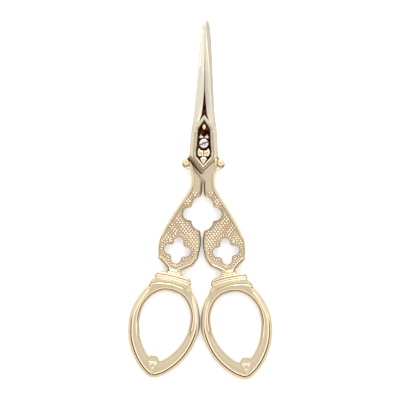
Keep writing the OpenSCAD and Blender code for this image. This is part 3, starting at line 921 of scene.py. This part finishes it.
# The same thin plating over ground blades: paler, with a faint lengthwise grain and near-black and dark red
# painted reflection in the hollow.
GROUND_GOLD = plated_metal("pale_gold_plated_ground_steel", ("#F1ECDA", "#EAE3CD"), ("#150B0A", "#6A2A1C"), 0.17,
                           scratch_mm=0.3, stretch=(1, 0.08, 1), shade_strength=1.08)
# The plated pivot plate, whose sunk field is painted near-black and dark red as shade and dark reflection.
PLATE_GOLD = plated_metal("champagne_gold_plated_boss", ("#EFE6CF", "#E9DDC0"), ("#150B0A", "#6A2A1C"), 0.16,
                          shade_strength=1.08)
# Nickel-plated turned screw, with painted shade in its slot.
NICKEL = plated_metal("nickel_plated_turned_steel", ("#DDDAD4", "#CFCBC4"), ("#3A322C", "#4A4038"), 0.18,
                      scratch_mm=0.25, shade_strength=0.8)


def matte_white(name):
    """Matte white light table, glowing faintly, whose roughness varies a little over a few millimetres."""
    material, shader, place = new_material(name)
    shader.inputs["Base Color"].default_value = linear("#F4F4F4")
    shader.inputs["Emission Color"].default_value = linear("#FFFFFF")
    shader.inputs["Emission Strength"].default_value = 0.35
    rough = remap(material, noise(material, 3, place), 0, 1, 0.85, 0.95)
    material.node_tree.links.new(rough, shader.inputs["Roughness"])
    return material


# ---- building the scissors

def build_half(side):
    """All the pieces of one half, named for the side, which is also the name of the body they ride on."""
    pieces = {
        "bow": bow(), "bow_tip_ornament": tip_ornament(), "collar": collar(), "panel_sheet": panel_sheet(),
        "panel_rails": rails(), "panel_hole_rim": hole_rim(), "panel_beads": panel_beads(), "knob": knob(),
        "plate": plate(BORE_R[side], counterbored=side == "front"), "plate_chevron": chevron(),
        "plate_shank_root": shank_root(), "plate_field_ornament": screw_field(), "blade": blade()}
    finishes = {"panel_beads": BEAD_GOLD, "plate": PLATE_GOLD, "blade": GROUND_GOLD}
    for name, ((points, faces), dark) in pieces.items():
        shown = turned_over(points) if side == "rear" else points
        finish = finishes.get(name, CAST_GOLD)
        make(f"{side}_{name}", (shown, faces), dark, finish, side, f"{side}_half", f"{side}_gold")


for half_name in ("front", "rear"):
    build_half(half_name)
make("pivot_screw_turned", *pivot_screw(), NICKEL, "rear", "pivot_screw", "screw_steel")


# ---- floor, light and camera

FLOOR_REACH = 1.5
FLOOR_DROP = 0.05 * MM                    # keeps the floor clear of the faces that lie in the rest plane
FLOOR_CORNERS = FLOOR_REACH * np.array([(-1, -1, 0), (1, -1, 0), (1, 1, 0), (-1, 1, 0)])
floor_mesh = bpy.data.meshes.new("floor_sweep")
floor_mesh.from_pydata(FLOOR_CORNERS.tolist(), [], [(0, 1, 2, 3)])
floor_mesh.materials.append(matte_white("matte_white_paper"))
floor = in_scene("floor_sweep", floor_mesh)
floor.location.z = -FLOOR_DROP


GLOW_BAND = 0.8                           # brightness that the bright ring adds
OVERHEAD = 0.88                           # brightness of the surroundings straight above, where the camera is


def soft_sky():
    """Studio surroundings as a soft gradient: greyer overhead, where the camera stands, with a bright ring
    half-way up. Low down they are brighter beyond the tips, and dark on the side of the bows."""
    world = bpy.data.worlds.new("studio_surroundings")
    world.use_nodes = True
    bpy.context.scene.world = world

    def level(direction, *limits):
        """A value that eases from one level to another as the direction goes from one limit to the next."""
        return remap(world, direction, *limits, interpolation_type="SMOOTHSTEP")

    way = add(world, "ShaderNodeTexCoord").outputs["Generated"]
    north, up = add(world, "ShaderNodeSeparateXYZ", inputs={"Vector": way}).outputs[1:]
    band = maths(world, "MULTIPLY", level(up, 0.93, 0.88, 0.0, 1.0), level(up, 0.68, 0.78, 0.0, GLOW_BAND))
    above = maths(world, "ADD", level(up, 0.5, 0.97, 0.86, OVERHEAD), band)
    low = level(up, 0.25, 0.66, 1.0, 0.0)
    dimmer = maths(world, "MULTIPLY", low, level(north, -0.35, 0.2, 0.93, 0.0))
    brighter = maths(world, "MULTIPLY", low, level(north, 0.25, 0.8, 0.0, 0.9))
    change = maths(world, "SUBTRACT", brighter, dimmer)
    lit = maths(world, "ADD", 1.0, change)
    background = world.node_tree.nodes["Background"]
    link = world.node_tree.links.new
    link(blend(world, band, linear("#FFFFFF"), linear("#FFF2F5")), background.inputs["Color"])
    link(maths(world, "MULTIPLY", above, lit), background.inputs["Strength"])


def soft_light(name, place, size, power):
    """Square area light, in metres and watts, aimed at the middle of the scissors."""
    lamp = bpy.data.lights.new(name, "AREA")
    lamp.size, lamp.energy = size, power
    holder = in_scene(name, lamp)
    holder.location = place
    holder.rotation_euler = (Vector((0, -0.02, 0)) - Vector(place)).to_track_quat("-Z", "Y").to_euler()


soft_sky()
soft_light("large_softbox_beyond_tips", (0.1, 0.75, 0.7), 0.5, 3.0)
soft_light("softbox_right", (0.8, 0.0, 0.55), 0.4, 0.5)

VIEW_ROLL = np.radians(1.11)              # the scissors lie turned a little clockwise in the view
VIEW_WIDTH = 142.9 * MM                   # width of the view at the scissors
VIEW_CENTRE = (-0.97 * MM, -20.2 * MM)
CAMERA_HEIGHT = 1.6
camera_data = bpy.data.cameras.new("camera")
camera_data.lens = camera_data.sensor_width * CAMERA_HEIGHT / VIEW_WIDTH
camera = in_scene("camera", camera_data)
camera.location = (*VIEW_CENTRE, CAMERA_HEIGHT)
camera.rotation_euler = (0, 0, VIEW_ROLL)
bpy.context.scene.camera = camera
bpy.context.scene.view_settings.view_transform = "Standard"
